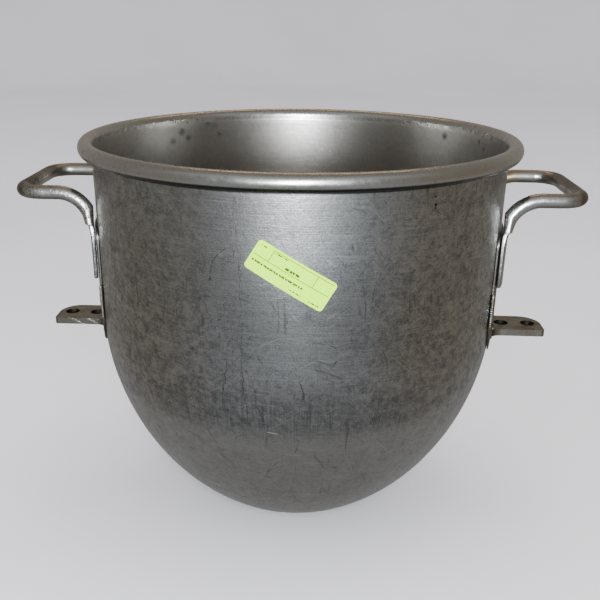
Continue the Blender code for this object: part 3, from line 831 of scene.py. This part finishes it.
def shell_finish(inside_start):
    """Dull, handled steel: mottling, spin lines, scores, hair scratches, stains and a few nicks, with
    painted shade under the bead and a lower dome that is partly painted reflection.
    """
    steel = Finish("worn_shell_steel", 1.0)
    fit, times, plus, minus, paint = steel.fit, steel.times, steel.plus, steel.minus, steel.paint
    place, wrap = steel.place, steel.wrap
    height = steel.part(place, 2)
    inside = fit(steel.part(wrap, 1), inside_start - 0.002, inside_start + 0.002)
    outside = minus(1.0, inside)
    flat = steel.joined(steel.part(wrap, 0), height)
    wobble = steel.noise(place, 75.0, 3.0, 0.6)
    wobbled = steel.vector("MULTIPLY_ADD", wobble, (0.01, 0.004, 0.0), flat)
    wobbled = steel.moved(wobbled, (-0.005, -0.002, 0.0))

    broad = steel.noise(place, 6.0, 3.0, 0.5)
    cloud = steel.noise(place, 92.0, 7.0, 0.74, 0.6)
    mottle = steel.noise(place, 210.0, 5.0, 0.72)
    grain = steel.noise(place, 900.0, 2.0, 0.6)
    rings = steel.noise(steel.scaled(wrap, (14.0, 1250.0, 1.0)), 1.0, 3.0, 0.65)
    streaks = steel.noise(steel.scaled(flat, (620.0, 24.0, 1.0)), 1.0, 4.0, 0.6)
    edge = times(minus(cloud, 0.5), 0.03)
    level = plus(height, edge)
    # The lower dome is painted lighter: partly a calmer finish, partly painted reflection of the floor
    # below it.
    low_dome = times(fit(level, *LOW_DOME), outside)
    band = times(fit(level, *BAND_TOP), fit(level, *BAND_BOTTOM))
    band = times(times(band, outside), fit(streaks, 0.36, 0.66, 0.25, 1.0))
    band = times(band, fit(steel.part(place, 1), -0.125, -0.16))

    fine_runs = ((0.1, 1.0, 0.47), (-0.5, 5.0, 0.5), (0.75, 14.0, 0.52))
    fine = steel.most(steel.scratches(wrap, angle, 10.0, 520.0, 0.022, shift, cover)
                      for angle, shift, cover in fine_runs)
    hair_runs = ((0.4, 13.0, 0.54), (1.52, 21.0, 0.49), (-0.95, 31.0, 0.56), (1.05, 37.0, 0.55))
    hair = steel.most(steel.scratches(wrap, angle, 11.0, 210.0, 0.013, shift, cover)
                      for angle, shift, cover in hair_runs)
    scores = (steel.segment(wobbled, (angle * WALL_RADIUS, z), (end_angle * WALL_RADIUS, end_z), width)
              for angle, z, end_angle, end_z, width in SCORES)
    scores = times(steel.most(scores), fit(mottle, 0.32, 0.52, 0.4, 1.0))
    # A row of six short upright strokes.
    tallies = (steel.segment(flat, ((0.372 + 0.0085 * i) * WALL_RADIUS, 0.16 + 0.0003 * i),
                             ((0.374 + 0.0085 * i) * WALL_RADIUS, 0.1685), 0.00035) for i in range(6))
    scores = times(steel.math("MAXIMUM", scores, steel.most(tallies)), outside)

    shade = plus(times(cloud, 0.52), times(mottle, 0.48))
    color = steel.mix(fit(shade, 0.37, 0.63), (0.145, 0.149, 0.148), (0.485, 0.492, 0.495))
    color = paint(color, fit(broad, 0.42, 0.66), 0.28, (0.25, 0.236, 0.212))
    color = paint(color, fit(grain, 0.5, 0.7), 0.34, (0.64, 0.645, 0.64))
    color = paint(color, fit(grain, 0.48, 0.32), 0.3, (0.11, 0.11, 0.108))
    color = paint(color, fit(rings, 0.46, 0.68), 0.3, (0.6, 0.605, 0.61))
    for mask, strength, over in (
            (low_dome, 0.55, (0.44, 0.43, 0.41)), (band, 0.5, (0.11, 0.112, 0.11)),
            (fine, 0.3, (0.68, 0.685, 0.68)), (hair, 0.52, (0.11, 0.108, 0.102)),
            (scores, 0.91, (0.04, 0.039, 0.036)), (inside, 0.62, (0.64, 0.612, 0.56))):
        color = paint(color, mask, strength, over)

    smudge = steel.most(steel.near(centre, radius, 0.9) for centre, radius in SMUDGES)
    smudge = times(times(smudge, inside), fit(mottle, 0.36, 0.5))
    color = paint(color, smudge, 0.85, (0.06, 0.055, 0.048))
    rust = steel.most(steel.near(front_point(angle, z), radius, 0.5) for angle, z, radius in RUST)
    color = paint(color, rust, 0.9, (0.065, 0.03, 0.016))
    nick = steel.segment(flat, (-0.0916 * WALL_RADIUS, 0.1565), (-0.0468 * WALL_RADIUS, 0.1552), 0.0006)
    nick = times(nick, outside)
    color = steel.mix(nick, color, (0.92, 0.91, 0.88))

    bead = fit(height, *BEAD_START)
    color = paint(color, bead, 0.7, (0.56, 0.552, 0.53))
    pits = times(bead, fit(mottle, 0.4, 0.3))
    color = paint(color, pits, 0.6, (0.11, 0.1, 0.085))
    # Painted shade: the bead's underside and the wall just below it are painted near black, in place of
    # the shadow under the rolled rim.
    painted_bead_shade = times(fit(height, *PAINTED_SHADE_TOP), fit(height, *PAINTED_SHADE_BOTTOM))
    painted_bead_shade = times(painted_bead_shade, outside)
    color = paint(color, painted_bead_shade, 0.94, (0.018, 0.017, 0.016))
    speck = steel.most(steel.near(centre, radius, 0.4) for centre, radius in SPECKS)
    color = steel.mix(speck, color, (0.93, 0.93, 0.92))
    steel.color(color)

    rough = plus(fit(cloud, 0.3, 0.7, 0.38, 0.29), fit(mottle, 0.3, 0.7, 0.04, -0.03))
    rough = minus(rough, times(bead, 0.06))
    rough = minus(rough, times(outside, fit(height, 0.33, 0.25, 0.0, 0.06)))
    calm = times(inside, 0.62)
    rough = minus(rough, times(calm, minus(rough, 0.285)))
    rough = plus(rough, times(low_dome, 0.05))
    rough = plus(rough, times(smudge, 0.15))
    steel.rough(plus(rough, times(scores, 0.2), clamp=True))

    relief = plus(times(rings, 0.6), times(grain, 0.45))
    relief = plus(relief, times(mottle, 1.3))
    relief = times(relief, minus(1.0, times(bead, 0.85)))
    steel.bump(relief, 0.00012, 0.75)
    return steel


def rod_finish():
    """Brighter bar: a painted warm reflection above and painted shade below, dark at its corners, pitted,
    and burnt by the rear welds.
    """
    rod = Finish("pitted_rod_steel", 1.0)
    place = rod.place
    fit, times, plus, minus, paint = rod.fit, rod.times, rod.plus, rod.minus, rod.paint
    soft = rod.noise(place, 30.0, 4.0, 0.6)
    speck = rod.noise(place, 330.0, 3.0, 0.6)
    pits = fit(rod.cells(place, 430.0), 0.42, 0.26)
    pits = times(pits, fit(soft, 0.42, 0.54))
    pits = times(pits, fit(rod.part(place, 0), 0.1, -0.1, 0.35, 1.0))
    pits = times(pits, fit(rod.part(place, 1), 0.02, -0.02, 0.2, 1.0))
    fine = rod.noise(rod.scaled(place, (900.0, 60.0, 900.0)), 1.0, 2.0)
    color = rod.mix(fit(soft, 0.35, 0.7), (0.6, 0.605, 0.6), (0.42, 0.41, 0.38))
    color = rod.mix(fit(speck, 0.55, 0.75, 0.0, 0.5), color, (0.33, 0.3, 0.255))
    up = rod.part(rod.normal, 2)
    sideways = rod.math("ABSOLUTE", rod.part(place, 0))
    uneven = times(minus(soft, 0.5), 0.5)
    # Painted reflection: surfaces of the rod that face up are tinted warm brown, in place of the warm
    # surroundings they reflect.
    painted_warm_top_reflection = times(fit(plus(up, uneven), 0.35, 0.95), 0.55)
    color = rod.mix(painted_warm_top_reflection, color, (0.43, 0.365, 0.27))
    # Painted shade: surfaces of the rod that face down are painted dark.
    painted_underside_shade = times(fit(minus(up, uneven), -0.2, -0.75), 0.8)
    color = rod.mix(painted_underside_shade, color, (0.14, 0.128, 0.108))
    color = rod.mix(fit(sideways, 0.222, 0.24, 0.0, 0.45), color, (0.33, 0.3, 0.255))
    color = rod.mix(fit(plus(sideways, times(uneven, 0.02)), 0.24, 0.2485, 0.0, 0.75),
                    color, (0.085, 0.07, 0.055))
    heat = times(fit(rod.part(place, 1), 0.01, 0.03), fit(sideways, 0.222, 0.2))
    color = paint(color, heat, 0.65, (0.4, 0.27, 0.11))
    strip = fit(rod.part(place, 2), STRIP_TOP + 0.001, STRIP_TOP - 0.004)
    color = paint(color, strip, 0.7, (0.33, 0.342, 0.332))
    color = paint(color, pits, 0.9, (0.05, 0.042, 0.034))
    rod.color(color)
    rough = plus(fit(soft, 0.3, 0.75, 0.24, 0.38), fit(speck, 0.4, 0.8, 0.0, 0.12))
    rough = minus(rough, times(strip, 0.03))
    rod.rough(plus(rough, times(pits, 0.25), clamp=True))
    relief = plus(times(speck, 0.7), times(fine, 0.25))
    rod.bump(minus(relief, times(pits, 1.6)), 0.00012, 0.6)
    return rod


def flat_finish(name, light, dark, stain, worn, low_rough, high_rough, holes_x=()):
    """Dull plate stock: mottled, stained, scuffed and worn on its arrises; where there are holes, painted
    shade inside them and at the ear's root.
    """
    plate = Finish(name, 1.0)
    place = plate.place
    fit, times, plus, paint = plate.fit, plate.times, plate.plus, plate.paint
    soft = plate.noise(place, 62.0, 5.0, 0.65)
    speck = plate.noise(place, 240.0, 4.0, 0.65)
    across, ahead, upward = (plate.part(place, axis) for axis in range(3))
    leaned = plate.joined(plus(across, times(upward, 0.6)), plus(ahead, times(upward, 0.8)))
    scuffs = plate.scratches(leaned, 0.5, 14.0, 420.0, 0.03, 2.0, 0.5)
    scuffs = plate.math("MAXIMUM", scuffs, plate.scratches(leaned, -0.9, 16.0, 380.0, 0.03, 7.0, 0.52))
    color = plate.mix(fit(soft, 0.36, 0.68), light, dark)
    color = plate.mix(fit(speck, 0.5, 0.75, 0.0, 0.7), color, stain)
    color = paint(color, scuffs, 0.3, (0.45, 0.43, 0.39))
    up = plate.math("ABSOLUTE", plate.part(plate.normal, 2))
    arris = times(fit(up, 0.15, 0.35), fit(up, 0.97, 0.85))
    color = plate.mix(times(arris, fit(speck, 0.6, 0.4, 0.1, 0.6)), color, worn)
    sideways = plate.math("ABSOLUTE", across)
    # Painted shade: the walls of each hole and a thin ring round it are painted dark.
    for x in holes_x:
        reach = plate.vector("LENGTH", plate.joined(plate.minus(sideways, x), ahead), output="Value")
        painted_hole_shade = fit(reach, EAR_HOLE_RADIUS + 0.001, EAR_HOLE_RADIUS + 0.0002)
        color = paint(color, painted_hole_shade, 0.9, (0.05, 0.043, 0.034))
    # Painted shade: the ear is painted dark where it meets the plate, in place of the shaded gaps at its
    # root.
    if holes_x:
        root = fit(plus(sideways, times(soft, 0.006)), 0.196, 0.1925)
        color = paint(color, root, 0.75, (0.085, 0.072, 0.056))
    plate.color(color)
    rough = fit(soft, 0.3, 0.75, low_rough, high_rough)
    plate.rough(plus(rough, fit(speck, 0.3, 0.8, -0.04, 0.08), clamp=True))
    relief = plus(times(speck, 0.9), times(soft, 1.2))
    plate.bump(plate.minus(relief, times(scuffs, 0.5)), 0.00018, 0.6)
    return plate


def weld_finish():
    """Dark, tinted weld metal with a few bright runs."""
    weld = Finish("weld_bead_steel", 1.0)
    fit, mix = weld.fit, weld.mix
    soft = weld.noise(weld.place, 90.0, 3.0, 0.6)
    speck = weld.noise(weld.place, 700.0, 3.0, 0.6)
    color = mix(fit(soft, 0.32, 0.44), (0.82, 0.81, 0.78), (0.2, 0.172, 0.132))
    weld.color(mix(fit(speck, 0.55, 0.78, 0.0, 0.6), color, (0.12, 0.098, 0.075)))
    weld.rough(fit(soft, 0.32, 0.5, 0.2, 0.5))
    weld.bump(speck, 0.00018, 0.5)
    return weld


def paper_finish():
    """Matt coloured paper with ruled boxes, rows of plain dashes and a little soiling."""
    paper = Finish("ruled_label_paper", 0.0)
    flat, fit, times, mix = paper.wrap, paper.fit, paper.times, paper.mix
    along, across = paper.part(flat, 0), paper.part(flat, 1)

    def between(value, low, high):
        return times(fit(value, low - 0.0002, low), fit(value, high + 0.0002, high))

    def box(left, right, bottom, top):
        return times(between(along, left, right), between(across, bottom, top))

    rule = 0.00014
    low_rule, high_rule, left_rule, right_rule = 0.0005, 0.0104, -0.0202, 0.018
    rules = paper.most([box(-0.0325, 0.0325, low_rule - rule, low_rule + rule),
                        box(left_rule, 0.0325, high_rule - rule, high_rule + rule),
                        box(left_rule - rule, left_rule + rule, low_rule, high_rule),
                        box(right_rule - rule, right_rule + rule, low_rule, high_rule)])
    dashes = fit(paper.noise(paper.scaled(flat, (900.0, 260.0, 1.0)), 1.0, 1.0), 0.4, 0.47)
    bars = paper.most([box(-0.0065, 0.0055, 0.002, 0.0038), box(-0.0318, 0.013, -0.0047, -0.0033),
                       box(-0.031, -0.0262, 0.0088, 0.0096), box(-0.0185, -0.008, 0.0088, 0.0095),
                       box(0.004, 0.015, -0.01, -0.0093), box(0.0215, 0.0305, -0.0104, -0.0096)])
    rules = paper.math("MAXIMUM", rules, times(bars, dashes))
    fibre = paper.noise(paper.place, 900.0, 3.0, 0.6)
    soil = paper.noise(paper.place, 60.0, 4.0, 0.6)
    color = mix(fit(fibre, 0.3, 0.7), (0.43, 0.93, 0.004), (0.49, 0.99, 0.012))
    color = mix(fit(soil, 0.52, 0.8, 0.0, 0.25), color, (0.38, 0.64, 0.02))
    color = paper.paint(color, rules, 0.94, (0.016, 0.026, 0.016))
    paper.color(color)
    paper.shader.inputs["Specular IOR Level"].default_value = 0.0
    paper.rough(fit(fibre, 0.3, 0.7, 0.6, 0.7))
    paper.bump(fibre, 0.00005, 0.4)
    return paper


def floor_finish():
    """Pale, very slightly clouded floor."""
    ground = Finish("pale_floor", 0.0)
    cloud = ground.noise(ground.place, 1.3, 3.0)
    ground.color(ground.mix(ground.fit(cloud, 0.3, 0.7), (0.74, 0.728, 0.745), (0.775, 0.765, 0.785)))
    ground.rough(ground.fit(cloud, 0.3, 0.7, 0.8, 0.9))
    return ground


# ---- studio ----

def add_light(name, place, target, width, height, energy, color):
    """A rectangular light that faces a target and isn't seen itself."""
    light = bpy.data.lights.new(name, "AREA")
    light.shape = "RECTANGLE"
    light.size = width
    light.size_y = height
    light.energy = energy
    light.color = color
    holder = bpy.data.objects.new(name, light)
    facing = (Vector(target) - Vector(place)).to_track_quat("-Z", "Y")
    holder.matrix_world = Matrix.Translation(place) @ facing.to_matrix().to_4x4()
    holder.visible_camera = False
    bpy.context.scene.collection.objects.link(holder)
    return holder


def build_backdrop():
    """A round pale floor that sweeps up into a wall on every side."""
    flat_reach, sweep, top = 4.5, 2.0, 6.0
    sides, flat_steps, sweep_steps = 96, 6, 16
    section = [(flat_reach * step / flat_steps, 0.0) for step in range(1, flat_steps + 1)]
    for step in range(1, sweep_steps + 1):
        turn = pi / 2 * step / sweep_steps
        section.append((flat_reach + sweep * sin(turn), sweep * (1 - cos(turn))))
    section.append((flat_reach + sweep, top))
    verts = []
    for radius, z in section:
        for i in range(sides):
            angle = 2 * pi * i / sides
            verts.append((radius * cos(angle), radius * sin(angle), z))
    faces = grid_faces(len(section), sides)
    faces.append(tuple(range(sides))[::-1])
    mesh = bpy.data.meshes.new("backdrop")
    mesh.from_pydata(verts, [], faces)
    mesh.flip_normals()
    mesh.shade_smooth()
    mesh.materials.append(floor_finish().material)
    ground = bpy.data.objects.new("backdrop", mesh)
    ground.location.z = -0.0005
    ground.visible_glossy = False
    bpy.context.scene.collection.objects.link(ground)


def build_world():
    """Even light for the floor and paper, and a dim room of its own for the metal to reflect."""
    world = bpy.data.worlds.new("studio")
    bpy.context.scene.world = world
    world.use_nodes = True
    sky = Nodes(world.node_tree)
    fit, mix = sky.fit, sky.mix
    direction = sky.node("TexCoord", {}, "Generated")
    across, ahead, up = (sky.part(direction, axis) for axis in range(3))
    beside = fit(sky.math("ABSOLUTE", across), 0.5, 0.96)
    side = mix(fit(across, -0.1, 0.1), (0.262, 0.246, 0.216), (0.242, 0.21, 0.16))
    low = mix(beside, (0.33, 0.33, 0.335), (0.29, 0.252, 0.205))
    color = mix(beside, (0.212, 0.224, 0.236), side)
    color = mix(fit(ahead, 0.15, 0.75), color, (0.3, 0.275, 0.24))
    color = mix(fit(up, -0.2, -0.6), color, low)
    color = mix(fit(up, -0.7, -0.98), color, (0.29, 0.285, 0.285))
    high = mix(fit(ahead, -0.05, -0.5), (0.25, 0.228, 0.195), (0.43, 0.432, 0.425))
    color = mix(fit(up, 0.25, 0.7), color, high)
    color = mix(sky.node("LightPath", {}, "Is Glossy Ray"), (1.42, 1.395, 1.45), color)
    sky.put(sky.tree.nodes["Background"], "Color", color)


def build_studio():
    """The floor, the room's light and four lights of its own."""
    build_backdrop()
    build_world()
    middle = (0.0, 0.0, 0.22)
    add_light("key", (0.0, -1.3, 0.46), middle, 0.14, 0.2, 25.0, (0.9, 0.95, 1.0))
    add_light("high_key", (0.05, -0.9, 0.62), (0.0, 0.0, 0.33), 0.07, 0.12, 4.6, (0.95, 0.97, 1.0))
    soft = add_light("soft_top", (0.1, 0.2, 2.3), middle, 1.3, 1.0, 24.0, (1.0, 0.97, 0.94))
    soft.visible_glossy = False
    warm = add_light("warm_top", (0.0, 1.4, 2.2), middle, 1.6, 0.25, 4.0, (1.0, 0.66, 0.34))
    warm.visible_diffuse = False


def add_camera():
    """The camera looks down on the front from slightly right of the middle."""
    focal, frame_width, centre_x, sensor = 819.26, 600.0, 270.0, 36.0
    distance, above_rim = 0.7623, 0.1082
    yaw, pitch, roll, turn = 0.0342, 0.3423, 0.0037, 0.0305
    level_right = Vector((cos(yaw), sin(yaw), 0.0))
    level_forward = Vector((-sin(yaw), cos(yaw), 0.0))
    forward = level_forward * cos(pitch) + Vector((0.0, 0.0, -sin(pitch)))
    level_up = level_right.cross(forward)
    right = level_right * cos(roll) + level_up * sin(roll)
    up = level_up * cos(roll) - level_right * sin(roll)
    placed = Matrix((right, up, -forward)).transposed().to_4x4()
    placed.translation = (0.0, -distance, HEIGHT + above_rim)
    camera = bpy.data.cameras.new("camera")
    camera.sensor_width = sensor
    camera.lens = focal / frame_width * sensor
    camera.shift_x = (frame_width / 2 - centre_x) / frame_width
    holder = bpy.data.objects.new("camera", camera)
    holder.matrix_world = Matrix.Rotation(turn, 4, "Z") @ placed
    bpy.context.scene.collection.objects.link(holder)
    bpy.context.scene.camera = holder


# ---- build ----

build_bowl()
rod_steel = rod_finish()
plate_steel = flat_finish("stained_plate_steel", (0.15, 0.141, 0.12), (0.1, 0.091, 0.072),
                          (0.06, 0.051, 0.038), (0.17, 0.16, 0.14), 0.34, 0.46)
ear_steel = flat_finish("worn_ear_steel", (0.3, 0.284, 0.246), (0.18, 0.163, 0.126),
                        (0.085, 0.068, 0.046), (0.36, 0.35, 0.315), 0.3, 0.42, EAR_HOLES_X)
weld_steel = weld_finish()
for side_sign, side_name in ((-1, "left"), (1, "right")):
    build_plate(side_sign, side_name, plate_steel)
    build_handle(side_sign, side_name, rod_steel)
    build_ear(side_sign, side_name, ear_steel)
    build_welds(side_sign, side_name, weld_steel)
build_label(paper_finish())

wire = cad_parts["rim_wire"]
wire.data.materials.clear()
wire.data.materials.append(flat_finish("rim_wire_steel", (0.34, 0.33, 0.32), (0.24, 0.23, 0.21),
                                       (0.16, 0.14, 0.12), (0.5, 0.49, 0.46), 0.4, 0.5).material)

build_studio()
add_camera()
